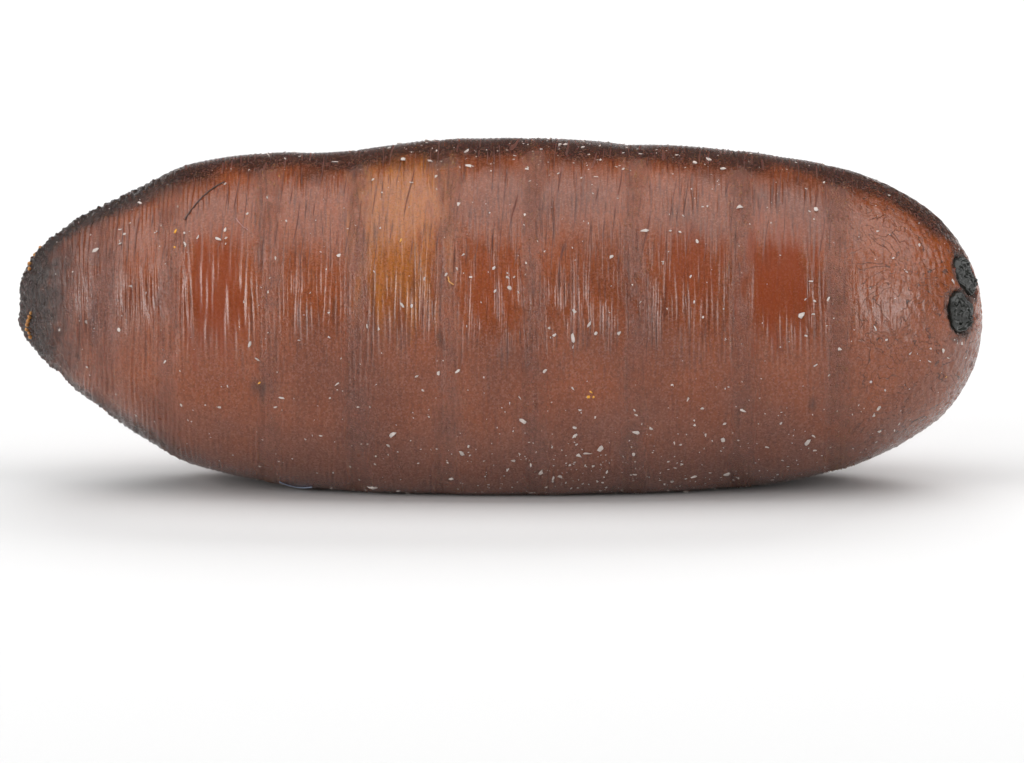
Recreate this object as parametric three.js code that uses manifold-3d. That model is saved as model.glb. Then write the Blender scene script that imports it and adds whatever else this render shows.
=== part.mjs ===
// A housefly puparium: the barrel-shaped, hardened larval skin in which the fly pupates.
// Millimetres, +Z up. +X runs from the front tip to the rear end, and the insect's back faces -Y,
// so it lies on its left side. The origin is on the resting surface, under the middle of the body.
// It grew as one skin, so it is one solid: the breathing plates and fans are fused to the barrel.
import * as THREE from "three";
import { mergeVertices } from "three/addons/utils/BufferGeometryUtils.js";
import Module from "manifold-3d";

// Driving dimensions
const LENGTH = 6.4; // front tip to rear end
const HEIGHT = 2.37; // upper to lower edge of the outline, before the resting flat is cut
const BACK_DEPTH = 1.2; // body axis to the back, at the thickest
const BELLY_DEPTH = 1.18; // body axis to the belly, at the thickest
const AXIS_HEIGHT = 1.106; // body axis above the resting flat
const RESTING_FULLNESS = 0.5; // how much squarer than an ellipse a full section is on the resting side
const SIDES = 52; // facets round the barrel

// The barrel's outline, seen from the back: share of the length, then the upper and the lower edge
// from the body axis, as shares of half the height. It starts in the pit that the mouth left.
const OUTLINE = [
  [0.0068, 0.06, -0.06],
  [0.0022, 0.1, -0.015],
  [0.0, 0.16, 0.035],
  [0.0026, 0.225, 0.065],
  [0.0078, 0.285, 0.12],
  [0.0165, 0.35, 0.18],
  [0.0411, 0.483, 0.315],
  [0.0828, 0.618, 0.506],
  [0.1244, 0.73, 0.663],
  [0.166, 0.837, 0.798],
  [0.2077, 0.894, 0.871],
  [0.2523, 0.921, 0.915],
  [0.3016, 0.919, 0.957],
  [0.346, 0.938, 0.989],
  [0.4366, 0.994, 1.021],
  [0.528, 1.003, 1.031],
  [0.631, 0.978, 1.011],
  [0.7414, 0.933, 0.953],
  [0.8412, 0.849, 0.871],
  [0.8944, 0.758, 0.769],
  [0.9319, 0.652, 0.657],
  [0.9652, 0.494, 0.522],
  [0.9902, 0.275, 0.298],
  [0.9977, 0.11, 0.135],
  [1.0, -0.011, 0.011],
];
const FIRST_BARREL_STATION = 5; // from here on, the outline only runs rearwards
const LAST_BARREL_STATION = 18; // from here on, the outline closes into the rear end

// Segment joints along the barrel, as shares of the length, front to rear
const JOINTS = [0.0415, 0.0828, 0.149, 0.2523, 0.346, 0.4366, 0.528, 0.631, 0.7414, 0.8412];
const JOINT_DEPTH = 0.016; // how deep the ring-shaped fold of a joint is
const JOINT_WIDTH = 0.045; // from the bottom of the fold to its lip
const WELT_RISE = 0.008; // the low welt behind a joint
const WELT_BEHIND = 0.13; // from the joint to the welt's crest
const WELT_WIDTH = 0.06;
const PLAIN_SEGMENT = 0.18; // a shorter segment has no rings between its folds
const FRONT_RINGS = 7; // rings that close the front tip
const REAR_RINGS = 13; // rings that close the rear end
const RING_GAP = 0.02; // the least distance from a fold's ring to the rings that close an end

// Rear breathing plates: two D-shaped discs, flat sides together, on the back half of the rear end
const PLATE_RADIUS = 0.135;
const PLATE_FLAT = 0.085; // from the disc's centre to its flat side
const PLATE_THICKNESS = 0.05;
const PLATE_BEVEL = 0.016;
const PLATE_SINK = 0.042; // how much of the plate is below the skin
const PLATES = [
  { back: 0.31, up: 0.27 },
  { back: 0.5, up: 0.055 },
];

// Front breathing fans: a row of small knobs on each side of the tip, at a station of the outline
const KNOBS = 6;
const KNOB_RADIUS = 0.019;
const FANS = [
  { station: 5, fromDegrees: 2, toDegrees: 30 },
  { station: 4, fromDegrees: 112, toDegrees: 168 },
];

// Anal plate: a low oval pad on the belly side of the rear end
const PAD = { share: 0.905, degrees: 270, rise: 0.03, along: 0.2, across: 0.36 };

const HALVINGS = 40; // steps of a search by halving
const MERGE_DISTANCE = 1e-5; // vertices closer than this are one

const wasm = await Module();
wasm.setup();

// Each point of this curve is (distance from the front tip, upper edge, lower edge).
const halfHeight = HEIGHT / 2;
const unit = new THREE.Vector3(LENGTH, halfHeight, halfHeight);
const outlinePoints = OUTLINE.map((shares) => new THREE.Vector3(...shares).multiply(unit));
const outline = new THREE.CatmullRomCurve3(outlinePoints, false, "centripetal");
const stationParameter = (station) => station / (OUTLINE.length - 1);

// The last value from low to high for which a test, true at first and false after, is still true.
function lastWhere(test, low, high) {
  for (let step = 0; step < HALVINGS; step++) {
    const middle = (low + high) / 2;
    if (test(middle)) low = middle;
    else high = middle;
  }
  return low;
}

// The outline at a distance from the front tip, on the stretch that only runs rearwards.
function barrelPoint(distance) {
  const before = (parameter) => outline.getPoint(parameter).x < distance;
  return outline.getPoint(lastWhere(before, stationParameter(FIRST_BARREL_STATION), 1));
}

// A smooth hump, 1 at its middle and 0 from its width on.
function hump(offset, width) {
  return Math.abs(offset) < width ? Math.cos((offset / width) * (Math.PI / 2)) ** 2 : 0;
}

// What the segment joints add to the radius at a distance from the front tip.
function segmentRelief(distance) {
  return JOINTS.reduce((sum, share) => {
    const behind = distance - share * LENGTH;
    return sum - JOINT_DEPTH * hump(behind, JOINT_WIDTH) + WELT_RISE * hump(behind - WELT_BEHIND, WELT_WIDTH);
  }, 0);
}

// A ring of the barrel: where it is, its half-height and how far its centre is above the body axis.
function ringAt(point) {
  return { distance: point.x, half: (point.y + point.z) / 2, rise: (point.y - point.z) / 2 };
}

// Rings close the two ends evenly, and between them follow the fold, welt and middle of each segment.
function barrelRings() {
  const frontEnd = stationParameter(FIRST_BARREL_STATION);
  const rearStart = stationParameter(LAST_BARREL_STATION);
  const frontParameter = (i) => (i / FRONT_RINGS) * frontEnd;
  const rearParameter = (i) => rearStart + ((i + 1) / REAR_RINGS) * (1 - rearStart);
  const front = Array.from({ length: FRONT_RINGS + 1 }, (_, i) => outline.getPoint(frontParameter(i)));
  const rear = Array.from({ length: REAR_RINGS }, (_, i) => outline.getPoint(rearParameter(i)));
  const barrel = JOINTS.flatMap((share, i) => {
    const joint = share * LENGTH;
    const next = i + 1 < JOINTS.length ? JOINTS[i + 1] * LENGTH : joint;
    const fold = [joint - JOINT_WIDTH, joint, joint + JOINT_WIDTH];
    const welt = joint + WELT_BEHIND;
    return next - joint > PLAIN_SEGMENT ? [...fold, welt, (welt + next) / 2] : fold;
  });
  const frontEdge = front[front.length - 1].x + RING_GAP;
  const rearEdge = rear[0].x - RING_GAP;
  const kept = barrel.filter((distance) => distance > frontEdge && distance < rearEdge);
  return [...front, ...kept.map(barrelPoint), ...rear].map(ringAt);
}

// A point of the skin on a ring. Degrees run from straight up, over the back, down and up the belly.
// The upper half of a section is half an ellipse, and the lower half is fuller, most so in the middle.
function skinPoint(ring, degrees, lift = 0) {
  const angle = THREE.MathUtils.degToRad(degrees);
  const depth = (Math.sin(angle) > 0 ? BACK_DEPTH : BELLY_DEPTH) / halfHeight;
  const power = Math.cos(angle) < 0 ? 2 + RESTING_FULLNESS * (ring.half / halfHeight) ** 2 : 2;
  const sum = Math.abs(Math.sin(angle)) ** power + Math.abs(Math.cos(angle)) ** power;
  const radius = (ring.half + lift) * sum ** (-1 / power);
  return new THREE.Vector3(
    ring.distance,
    -radius * depth * Math.sin(angle),
    ring.rise + radius * Math.cos(angle),
  );
}

// How far the anal plate lifts the skin.
function padLift(ring, degrees) {
  const along = (ring.distance - PAD.share * LENGTH) / PAD.along;
  const across = (THREE.MathUtils.degToRad(degrees - PAD.degrees) * ring.half) / PAD.across;
  return PAD.rise * hump(Math.hypot(along, across), 1);
}

// A closed three.js geometry as a solid that can be joined and cut.
function solidFrom(geometry) {
  const bare = new THREE.BufferGeometry().setAttribute("position", geometry.getAttribute("position"));
  bare.setIndex(geometry.index);
  const merged = mergeVertices(bare, MERGE_DISTANCE);
  const triVerts = new Uint32Array(merged.index.array);
  return new wasm.Manifold(
    new wasm.Mesh({ numProp: 3, vertProperties: merged.attributes.position.array, triVerts }),
  );
}

function geometryFrom(solid) {
  const mesh = solid.getMesh();
  const geometry = new THREE.BufferGeometry();
  geometry.setAttribute("position", new THREE.BufferAttribute(new Float32Array(mesh.vertProperties), 3));
  geometry.setIndex(new THREE.BufferAttribute(new Uint32Array(mesh.triVerts), 1));
  return geometry;
}

// The barrel is turned on a lathe, and each turned ring is then moved to its own oval.
function barrel() {
  const rings = barrelRings();
  const profile = rings.map((ring) => new THREE.Vector2(ring.half, -ring.distance));
  const geometry = new THREE.LatheGeometry(profile, SIDES);
  const position = geometry.getAttribute("position");
  for (let i = 0; i < position.count; i++) {
    const ring = rings[i % rings.length];
    const degrees = ((Math.floor(i / rings.length) % SIDES) / SIDES) * 360;
    const onAxis = ring.half < MERGE_DISTANCE;
    const lift = onAxis ? -ring.half : segmentRelief(ring.distance) + padLift(ring, degrees);
    const point = skinPoint(ring, degrees, lift);
    position.setXYZ(i, point.x, point.y, point.z);
  }
  return geometry;
}

// Where the rear end's skin has a given offset to the back and upwards, and which way it faces there.
function rearSkin(back, up) {
  const depth = BACK_DEPTH / halfHeight;
  const ringOf = (distance) => ringAt(barrelPoint(distance));
  const inside = (distance) => ringOf(distance).half > Math.hypot(back / depth, up - ringOf(distance).rise);
  const distance = lastWhere(inside, OUTLINE[LAST_BARREL_STATION][0] * LENGTH, LENGTH);
  const ring = ringOf(distance);
  const slope = (ring.half - ringOf(distance - RING_GAP).half) / RING_GAP;
  const normal = new THREE.Vector3(-slope, -back / (depth * depth * ring.half), (up - ring.rise) / ring.half);
  return { point: new THREE.Vector3(distance, -back, up), normal: normal.normalize() };
}

// A D-shaped disc with rounded edges, its flat side towards +X, lying in XY and rising along +Z.
function plate() {
  const half = Math.acos(PLATE_FLAT / PLATE_RADIUS);
  const shape = new THREE.Shape();
  shape.absarc(0, 0, PLATE_RADIUS - PLATE_BEVEL, half, 2 * Math.PI - half, false);
  shape.closePath();
  return new THREE.ExtrudeGeometry(shape, {
    depth: PLATE_THICKNESS - 2 * PLATE_BEVEL,
    bevelEnabled: true,
    bevelThickness: PLATE_BEVEL,
    bevelSize: PLATE_BEVEL,
    bevelSegments: 2,
    curveSegments: 18,
  }).translate(0, 0, PLATE_BEVEL);
}

// The plates sit flat on the skin, each with its flat side towards the other.
function plates() {
  const seats = PLATES.map(({ back, up }) => rearSkin(back, up));
  return seats.map(({ point, normal }, i) => {
    const towards = seats[1 - i].point.clone().sub(point);
    const inward = towards.addScaledVector(normal, -towards.dot(normal)).normalize();
    const across = new THREE.Vector3().crossVectors(normal, inward);
    const place = new THREE.Matrix4().makeBasis(inward, across, normal);
    place.setPosition(point.clone().addScaledVector(normal, -PLATE_SINK));
    return plate().applyMatrix4(place);
  });
}

// The knobs of a fan stand in a row round the tip, half sunk in the skin.
function fan({ station, fromDegrees, toDegrees }) {
  const ring = ringAt(outline.points[station]);
  return Array.from({ length: KNOBS }, (_, i) => {
    const degrees = fromDegrees + (i / (KNOBS - 1)) * (toDegrees - fromDegrees);
    const centre = skinPoint(ring, degrees);
    return new THREE.IcosahedronGeometry(KNOB_RADIUS, 1).translate(centre.x, centre.y, centre.z);
  });
}

// Everything below the resting surface is taken off, so the body lies on a small flat.
function belowRest() {
  const reach = LENGTH;
  return new THREE.BoxGeometry(2 * LENGTH, reach, reach).translate(LENGTH / 2, 0, -AXIS_HEIGHT - reach / 2);
}

function puparium() {
  const grown = [...plates(), ...FANS.flatMap(fan)];
  const whole = grown.reduce((solid, geometry) => solid.add(solidFrom(geometry)), solidFrom(barrel()));
  const geometry = geometryFrom(whole.subtract(solidFrom(belowRest())));
  geometry.computeBoundingBox();
  const middle = geometry.boundingBox.getCenter(new THREE.Vector3());
  geometry.translate(-middle.x, -middle.y, -geometry.boundingBox.min.z);
  const skin = new THREE.MeshStandardMaterial({ color: 0x7a3b22, roughness: 0.42, metalness: 0 });
  const mesh = new THREE.Mesh(geometry, skin);
  mesh.name = "puparium";
  return mesh;
}

const part = new THREE.Group();
part.add(puparium());

export default part;
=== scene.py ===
# %% [markdown]
# # A housefly puparium, dressed around its solid
#
# When a housefly larva is ready to pupate, its last skin shrinks to a barrel, hardens and tans to a
# red-brown shell, the puparium. The solid gives its size and its main shape. This lesson adds what the
# eye sees through a macro lens: folds and fine wrinkles, belts of tiny spines, breathing plates, dust.
# Lengths are in millimetres until a mesh is made, because Blender counts in metres.

# %% Load the solid
import math

import bpy
import numpy as np
from mathutils import Matrix, Vector
from mathutils.bvhtree import BVHTree


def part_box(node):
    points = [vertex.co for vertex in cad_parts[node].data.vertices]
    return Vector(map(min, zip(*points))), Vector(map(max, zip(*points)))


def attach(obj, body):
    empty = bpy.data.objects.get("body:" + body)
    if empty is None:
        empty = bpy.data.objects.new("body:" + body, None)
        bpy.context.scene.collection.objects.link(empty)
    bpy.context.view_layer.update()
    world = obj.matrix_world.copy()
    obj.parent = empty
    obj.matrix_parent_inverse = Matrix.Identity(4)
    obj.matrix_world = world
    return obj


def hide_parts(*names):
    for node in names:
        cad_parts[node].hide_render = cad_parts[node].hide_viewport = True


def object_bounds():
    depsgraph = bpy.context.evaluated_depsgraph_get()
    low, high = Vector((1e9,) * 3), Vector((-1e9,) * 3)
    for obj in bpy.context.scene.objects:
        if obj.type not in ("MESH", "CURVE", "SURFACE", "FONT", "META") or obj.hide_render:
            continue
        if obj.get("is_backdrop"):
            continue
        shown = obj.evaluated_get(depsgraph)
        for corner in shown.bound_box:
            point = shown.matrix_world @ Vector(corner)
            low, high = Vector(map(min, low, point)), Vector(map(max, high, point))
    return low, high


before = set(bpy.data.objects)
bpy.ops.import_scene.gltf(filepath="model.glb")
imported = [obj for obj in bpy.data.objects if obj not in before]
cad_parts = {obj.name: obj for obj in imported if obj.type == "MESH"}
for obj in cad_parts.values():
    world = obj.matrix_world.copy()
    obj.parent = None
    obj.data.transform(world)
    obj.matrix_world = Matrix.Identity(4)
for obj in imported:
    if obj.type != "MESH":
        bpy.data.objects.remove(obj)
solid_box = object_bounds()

MM = 0.001
low, high = (np.array(corner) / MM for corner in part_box("puparium"))
LENGTH, DEPTH, HEIGHT = (high - low).tolist()
print(f"the solid is {LENGTH:.2f} mm long, {DEPTH:.2f} mm deep and {HEIGHT:.2f} mm high")

# %% [markdown]
# ## The camera
#
# A macro lens at a long distance sees the pupa almost without perspective, from a little above the
# ground. The camera comes first, because some marks on the skin are placed where it sees them: a ray
# through a picture point finds the place on the solid, which is then a place on the object from any side.

# %% Place the camera
PICTURE = (1024, 763)
TIP_PIXEL, REAR_PIXEL = 20.5, 981.5  # where the front tip and the rear end are in the picture
PIXEL = LENGTH / (REAR_PIXEL - TIP_PIXEL)  # millimetres
CAMERA_ELEVATION = math.radians(8.5)
CAMERA_DISTANCE = 140.0
AIM = Vector((0.072, 0.0, 0.67))  # the point in the middle of the picture
SENSOR = 36.0

lens = bpy.data.cameras.new("macro_lens")
lens.sensor_width = SENSOR
lens.lens = SENSOR * CAMERA_DISTANCE / (PICTURE[0] * PIXEL)
lens.clip_start = 0.01
lens.clip_end = 10.0
camera = bpy.data.objects.new("camera", lens)
bpy.context.collection.objects.link(camera)
towards_camera = Vector((0.0, -math.cos(CAMERA_ELEVATION), math.sin(CAMERA_ELEVATION)))
camera.location = (AIM + CAMERA_DISTANCE * towards_camera) * MM
camera.rotation_euler = (-towards_camera).to_track_quat("-Z", "Y").to_euler()
bpy.context.scene.camera = camera
print(f"lens of {lens.lens:.0f} mm, {PIXEL * 1000:.2f} micrometres to a pixel")

# %% Find the place that a picture point shows
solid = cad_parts["puparium"].data
solid_tree = BVHTree.FromPolygons(
    [vertex.co / MM for vertex in solid.vertices],
    [face.vertices for face in solid.polygons],
)
camera_right = Vector((1.0, 0.0, 0.0))
camera_up = towards_camera.cross(camera_right)


def seen_at(x, y, tree):
    """The place on a surface, in millimetres, that shows at a picture point, and the way it faces."""
    right = (float(x) - PICTURE[0] / 2) * PIXEL
    up = (PICTURE[1] / 2 - float(y)) * PIXEL
    eye = AIM + CAMERA_DISTANCE * towards_camera
    aim = AIM + right * camera_right + up * camera_up
    place, normal, _, _ = tree.ray_cast(eye, aim - eye)
    if place is None:
        place, normal, _, _ = tree.find_nearest(aim)
    return np.array(place), np.array(normal)


print("the middle of the back is at", seen_at(501, 313, solid_tree)[0].round(2))

# %% [markdown]
# ## Rings of rays
#
# The skin needs far more points than the solid has facets, and they should lie in rings, because the
# folds run round the body. So rays leave the body's axis and hit the solid from inside: straight out
# along the barrel, and turning towards the axis at both ends. A cubic spline through the hits takes the
# facets out, and gives rings at any spacing.

# %% Cast the rays
AXIS_HEIGHT = HEIGHT / 2
FRONT_PIVOT = low[0] + 0.45  # where the rays begin to turn towards the front tip
REAR_PIVOT = high[0] - 0.95
RAY_ANGLES = 96
FRONT_TURNS, BARREL_RAYS, REAR_TURNS = 22, 110, 34

turns = np.concatenate([
    np.linspace(-90, 0, FRONT_TURNS, endpoint=False),
    np.zeros(BARREL_RAYS),
    np.linspace(0, 90, REAR_TURNS + 1)[1:],
])
starts = np.concatenate([
    np.full(FRONT_TURNS, FRONT_PIVOT),
    np.linspace(FRONT_PIVOT, REAR_PIVOT, BARREL_RAYS),
    np.full(REAR_TURNS, REAR_PIVOT),
])
ray_angles = np.arange(RAY_ANGLES) * 2 * math.pi / RAY_ANGLES


def hit(start, turn, angle):
    """Where a ray from the axis leaves the solid. The angle runs from straight up, over the back."""
    out = math.cos(turn)
    aim = Vector((math.sin(turn), -out * math.sin(angle), out * math.cos(angle)))
    return solid_tree.ray_cast(Vector((start, 0.0, AXIS_HEIGHT)), aim)[0]


hits = np.array([
    [hit(start, turn, angle) for angle in ray_angles] for start, turn in zip(starts, np.radians(turns))
])
print(hits.shape[0] * hits.shape[1], "rays hit the solid")

# %% Smooth the hits along the barrel, then with a cubic spline
MIRRORED = 2  # rows that continue the surface past each pole, from its other side
SMOOTHINGS = 5  # soften the solid's joint grooves, which the skin gets again as fine folds
half_turn = RAY_ANGLES // 2
front_rows = np.roll(hits[MIRRORED:0:-1], half_turn, axis=1)
rear_rows = np.roll(hits[-2 : -2 - MIRRORED : -1], half_turn, axis=1)
rows = np.concatenate([front_rows, hits, rear_rows])
barrel_first = MIRRORED + FRONT_TURNS
barrel_last = barrel_first + BARREL_RAYS
for _ in range(SMOOTHINGS):
    before = rows[barrel_first - 1 : barrel_last - 1]
    after = rows[barrel_first + 1 : barrel_last + 1]
    rows[barrel_first:barrel_last] = (before + 2 * rows[barrel_first:barrel_last] + after) / 4


def spline_weights(places, count):
    """For each place between the samples 0 to count - 1, the weights of a cubic B-spline."""
    first = np.floor(places).astype(int)
    part = places - first
    shares = [
        (1 - part) ** 3,
        3 * part**3 - 6 * part**2 + 4,
        1 + 3 * part + 3 * part**2 - 3 * part**3,
        part**3,
    ]
    weights = np.zeros((len(places), count))
    for step, share in enumerate(shares):
        weights[np.arange(len(places)), (first + step - 1) % count] += share / 6
    return weights


def smooth_rings(ring_places, sides):
    """Rings of points on the smoothed surface, at places counted in rows of rays."""
    along = spline_weights(np.asarray(ring_places) + MIRRORED, len(rows))
    around = spline_weights(np.arange(sides) * RAY_ANGLES / sides, RAY_ANGLES)
    return np.einsum("ru,uac,sa->rsc", along, rows, around, optimize=True)


steps = np.linalg.norm(np.diff(hits, axis=0), axis=2).mean(axis=1)
row_distance = np.concatenate([[0.0], np.cumsum(steps)])
skin_length = row_distance[-1]
print(f"from pole to pole the skin is {skin_length:.2f} mm long")

# %% [markdown]
# ## A mesh that follows the folds
#
# Along the barrel the wrinkles run round the body, so the mesh has many rings of long faces. At the rear
# end they run every way, so the faces there are nearly square: twice as many round the ring, half as many
# rings. One row of triangles joins the two.

# %% Make the skin's mesh, still smooth
# Where the body's joints are, as shares of its length from the front tip
JOINTS = np.array([0.0415, 0.0828, 0.149, 0.2523, 0.346, 0.4366, 0.528, 0.631, 0.7414, 0.8412]) * LENGTH
BARREL_SIDES = 96
REAR_SIDES = 2 * BARREL_SIDES
BARREL_STEP = 0.0076  # about four rings to a wrinkle
REAR_STEP = 0.0128

row_front = rows[MIRRORED:-MIRRORED, :, 0].mean(axis=1) - low[0]
rear_start = np.interp(JOINTS[-1], row_front, row_distance)
barrel_distances = np.arange(BARREL_STEP, rear_start, BARREL_STEP)
rear_distances = np.arange(rear_start + REAR_STEP, skin_length - REAR_STEP / 2, REAR_STEP)
row_numbers = np.arange(len(row_distance))
barrel_rings = smooth_rings(np.interp(barrel_distances, row_distance, row_numbers), BARREL_SIDES)
rear_rings = smooth_rings(np.interp(rear_distances, row_distance, row_numbers), REAR_SIDES)
poles = smooth_rings([0, len(row_distance) - 1], 1)


def ring_faces(first, rings, sides):
    """Quads between neighbouring rings whose points are numbered ring by ring."""
    side = np.arange(sides)
    ring = first + sides * np.arange(rings - 1)[:, None]
    after = (side + 1) % sides
    quads = np.stack([ring + side, ring + after, ring + sides + after, ring + sides + side], axis=-1)
    return quads.reshape(-1, 4).tolist()


def seam_faces(barrel_ring, rear_ring):
    """Triangles from the last barrel ring to the first rear ring, which has two points for each one."""
    faces = []
    for side in range(BARREL_SIDES):
        here, there = barrel_ring + side, barrel_ring + (side + 1) % BARREL_SIDES
        left, middle = rear_ring + 2 * side, rear_ring + 2 * side + 1
        right = rear_ring + (2 * side + 2) % REAR_SIDES
        faces += [(here, middle, left), (here, there, middle), (there, right, middle)]
    return faces


points = np.concatenate([barrel_rings.reshape(-1, 3), rear_rings.reshape(-1, 3), poles.reshape(-1, 3)])
rear_first = barrel_rings.shape[0] * BARREL_SIDES
front_pole = len(points) - 2
rear_pole = len(points) - 1
last_ring = front_pole - REAR_SIDES
skin_faces = ring_faces(0, len(barrel_rings), BARREL_SIDES)
skin_faces += ring_faces(rear_first, len(rear_rings), REAR_SIDES)
skin_faces += seam_faces(rear_first - BARREL_SIDES, rear_first)
skin_faces += [(front_pole, (side + 1) % BARREL_SIDES, side) for side in range(BARREL_SIDES)]
skin_faces += [
    (rear_pole, last_ring + side, last_ring + (side + 1) % REAR_SIDES) for side in range(REAR_SIDES)
]


def make_piece(name, places, faces, smooth=True):
    """A mesh object from points in millimetres, riding on the body."""
    mesh = bpy.data.meshes.new(name)
    mesh.from_pydata((np.asarray(places) * MM).tolist(), [], faces)
    mesh.polygons.foreach_set("use_smooth", [smooth] * len(mesh.polygons))
    mesh.update()
    piece = bpy.data.objects.new(name, mesh)
    bpy.context.collection.objects.link(piece)
    triangles = sum(len(face) - 2 for face in faces)
    print(f"{name}: {len(places)} points, {triangles} triangles")
    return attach(piece, "root")


skin = make_piece("puparium_skin", points, skin_faces)
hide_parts("puparium")

# %% [markdown]
# ## Relief
#
# The dried skin is wrinkled at several scales. Rather than a noise texture, each kind of wrinkle is a sum
# of a few dozen waves with one spacing and random directions. Waves that all run along the body give
# striations that fork and end, as skin folds do. Waves in every direction, cut at their zero line, give
# the crackled net of the rear end.

# %% Waves that make wrinkles
normals = np.zeros(len(points) * 3)
skin.data.vertices.foreach_get("normal", normals)
normals = normals.reshape(-1, 3)
from_front = points[:, 0] - low[0]
above_axis = points[:, 2] - AXIS_HEIGHT
upward = above_axis / np.hypot(points[:, 1], above_axis)


def waves(places, spacing, seed, drift=None, count=36):
    """A random height of about -1 to 1: waves with spacings from a pair of limits, in millimetres.
    With a drift they run along the body, and change round it over about that distance."""
    random = np.random.default_rng(seed)
    pace = 2 * math.pi / random.uniform(*spacing, count)
    if drift is None:
        aims = random.normal(size=(count, 3))
        vectors = aims / np.linalg.norm(aims, axis=1)[:, None] * pace[:, None]
    else:
        vectors = np.column_stack([pace, random.normal(0, 2 * math.pi / drift, (count, 2))])
    heights = np.cos(places @ vectors.T + random.uniform(0, 2 * math.pi, count)).sum(axis=1)
    return heights / math.sqrt(2 * count)


def hill(offset, width):
    """A smooth hill: 1 in the middle, 0 from its width on."""
    return np.where(np.abs(offset) < width, np.cos(offset / width * math.pi / 2) ** 2, 0.0)


def rise(value, start, end):
    """A smooth step from 0 at start to 1 at end."""
    share = np.clip((value - start) / (end - start), 0, 1)
    return share * share * (3 - 2 * share)


def near_zero(value, width):
    """1 along the zero lines of a field of waves, falling to 0 over a width."""
    return np.exp(-((value / width) ** 2))


# %% Where the skin is banded, smooth, amber, black or crackled, and where the front's edges get painted shade
BAND_WIDTH = 0.135  # a belt of spines behind each joint, half as wide again on the belly
belly = rise(points[:, 1], -0.3, 0.5)
behind_joints = from_front[:, None] - JOINTS
wander = 0.02 * waves(points, (0.5, 0.9), 11) + 0.006 * waves(points, (0.08, 0.15), 14)
band_width = BAND_WIDTH * (1 + 0.5 * belly)
band = hill(behind_joints + wander[:, None] - 0.045, band_width[:, None]).max(axis=1)
band = band * np.clip(0.75 + 0.6 * waves(points, (0.05, 0.25), 33), 0.2, 1)
fold = hill(behind_joints + wander[:, None], 0.028).max(axis=1)
rear = rise(from_front, JOINTS[-1] - 0.02, JOINTS[-1] + 0.3)
tip = 1 - rise(from_front + 0.07 * waves(points, (0.03, 0.2), 12), 0.13, 0.45)

# Smooth windows, the amber patch and dark stains. Each mark has a picture point, its half sizes in
# millimetres along and round the body, and its strength.
WINDOWS = [
    (214, 294, 0.17, 0.36, 1.0),
    (488, 285, 0.13, 0.2, 0.45),
    (690, 262, 0.17, 0.22, 0.6),
    (779, 280, 0.2, 0.33, 1.0),
]
AMBER = [(402, 200, 0.25, 0.5, 1.0), (398, 255, 0.22, 0.36, 1.0)]
STAINS = [(262, 391, 0.07, 0.035, 0.7), (812, 401, 0.04, 0.03, 0.6), (440, 338, 0.02, 0.02, 0.6)]
PLATE_PIXELS = [(968, 275), (964, 312)]  # the middles of the two rear breathing plates
PLATE_RADIUS = 0.145
PLATE_SURROUND = 0.075  # how far the black reaches past a plate


def patches(marks, soft):
    """How strongly each point lies in the squarish patches of a list, with ragged edges of a softness."""
    strength = np.zeros(len(points))
    ragged = 0.5 * waves(points, (0.06, 0.22), 13, drift=0.6)
    for x, y, along, around, most in marks:
        away = points - seen_at(x, y, solid_tree)[0]
        aside = np.hypot(away[:, 1], away[:, 2]) / around
        reach = np.cbrt(np.abs(away[:, 0] / along) ** 3 + aside**3)
        strength = np.maximum(strength, most * (1 - rise(reach + ragged, 1 - soft, 1 + soft)))
    return strength


window = patches(WINDOWS, 0.55)
amber = patches(AMBER, 0.75)
plate_seats = [seen_at(x, y, solid_tree) for x, y in PLATE_PIXELS]
to_plate = np.min([np.linalg.norm(points - place, axis=1) for place, _ in plate_seats], axis=0)
plate_edge = to_plate + 0.025 * waves(points, (0.06, 0.15), 15)
plate_surround = 1 - rise(plate_edge, PLATE_RADIUS, PLATE_RADIUS + PLATE_SURROUND)
# Painted shade: the top and bottom edges of the front cone are darkened, and kept with the black tip, stains
# and plate surrounds
front_edge_shade = np.maximum(rise(upward, 0.86, 0.97), rise(-upward, 0.72, 0.9))
front_edge_shade = front_edge_shade * (1 - rise(from_front, 0.8, 1.3))
black = np.maximum.reduce([tip, patches(STAINS, 0.5), 0.8 * front_edge_shade, 0.95 * plate_surround])
print(f"bands cover {band.mean():.0%} of the points, windows {window.mean():.1%}")

# %% Lift and sink the skin's points
STRIATION = 0.0075  # heights and depths in millimetres
FISSURE = 0.005
FISSURE_SPACING = 0.06
FOLD = 0.004
CRACKLE = 0.003
FRONT_RING = 0.006
WINDOW_DIMPLE = 0.008
WARTS = 0.013
UNEVEN = 0.007
REAR_NET = 0.004
PLATE_PIT = 0.04  # the skin goes down under the breathing plates

# Painted shade: the top rim is darkened, wider at the rear and fading out on the rounded ends
at_rear = rise(from_front, LENGTH - 0.75, LENGTH - 0.3)
upper = rise(upward + 0.08 * at_rear + 0.03 * waves(points, (0.2, 0.5), 31), 0.88, 0.99)
upper = upper * rise(above_axis, 0.15, 0.55)
band = band * (1 - 0.85 * upper)
streaky = (1 - 0.65 * window) * (1 - 0.8 * rise(-above_axis, 0.0, 0.4)) * (1 - 0.5 * rear)
striped = (1 - 0.4 * band) * (1 - rear) * (1 - 0.8 * window) * (1 - black)
fine = waves(points, (0.023, 0.046), 21, drift=0.55)
calm = np.clip(0.8 + 0.5 * waves(points, (0.15, 0.5), 29), 0.45, 1.2)
patchy = rise(waves(points, (0.12, 0.5), 23, drift=0.5), -0.1, 0.25)
fissured = patchy * striped * (0.1 + 0.9 * rise(above_axis, 0.25, 0.6))
course = (points[:, 0] - 0.14 * points[:, 2]) / FISSURE_SPACING  # whole numbers lie along the fissures
course = course + 0.4 * waves(points, (0.15, 0.45), 22, drift=2.6)
fissure = near_zero((course - np.round(course)) * FISSURE_SPACING, 0.007) * fissured
net = waves(points, (0.07, 0.13), 24)
net_fine = waves(points, (0.045, 0.07), 25)
crackle = near_zero(net, 0.14) * rear
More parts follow.
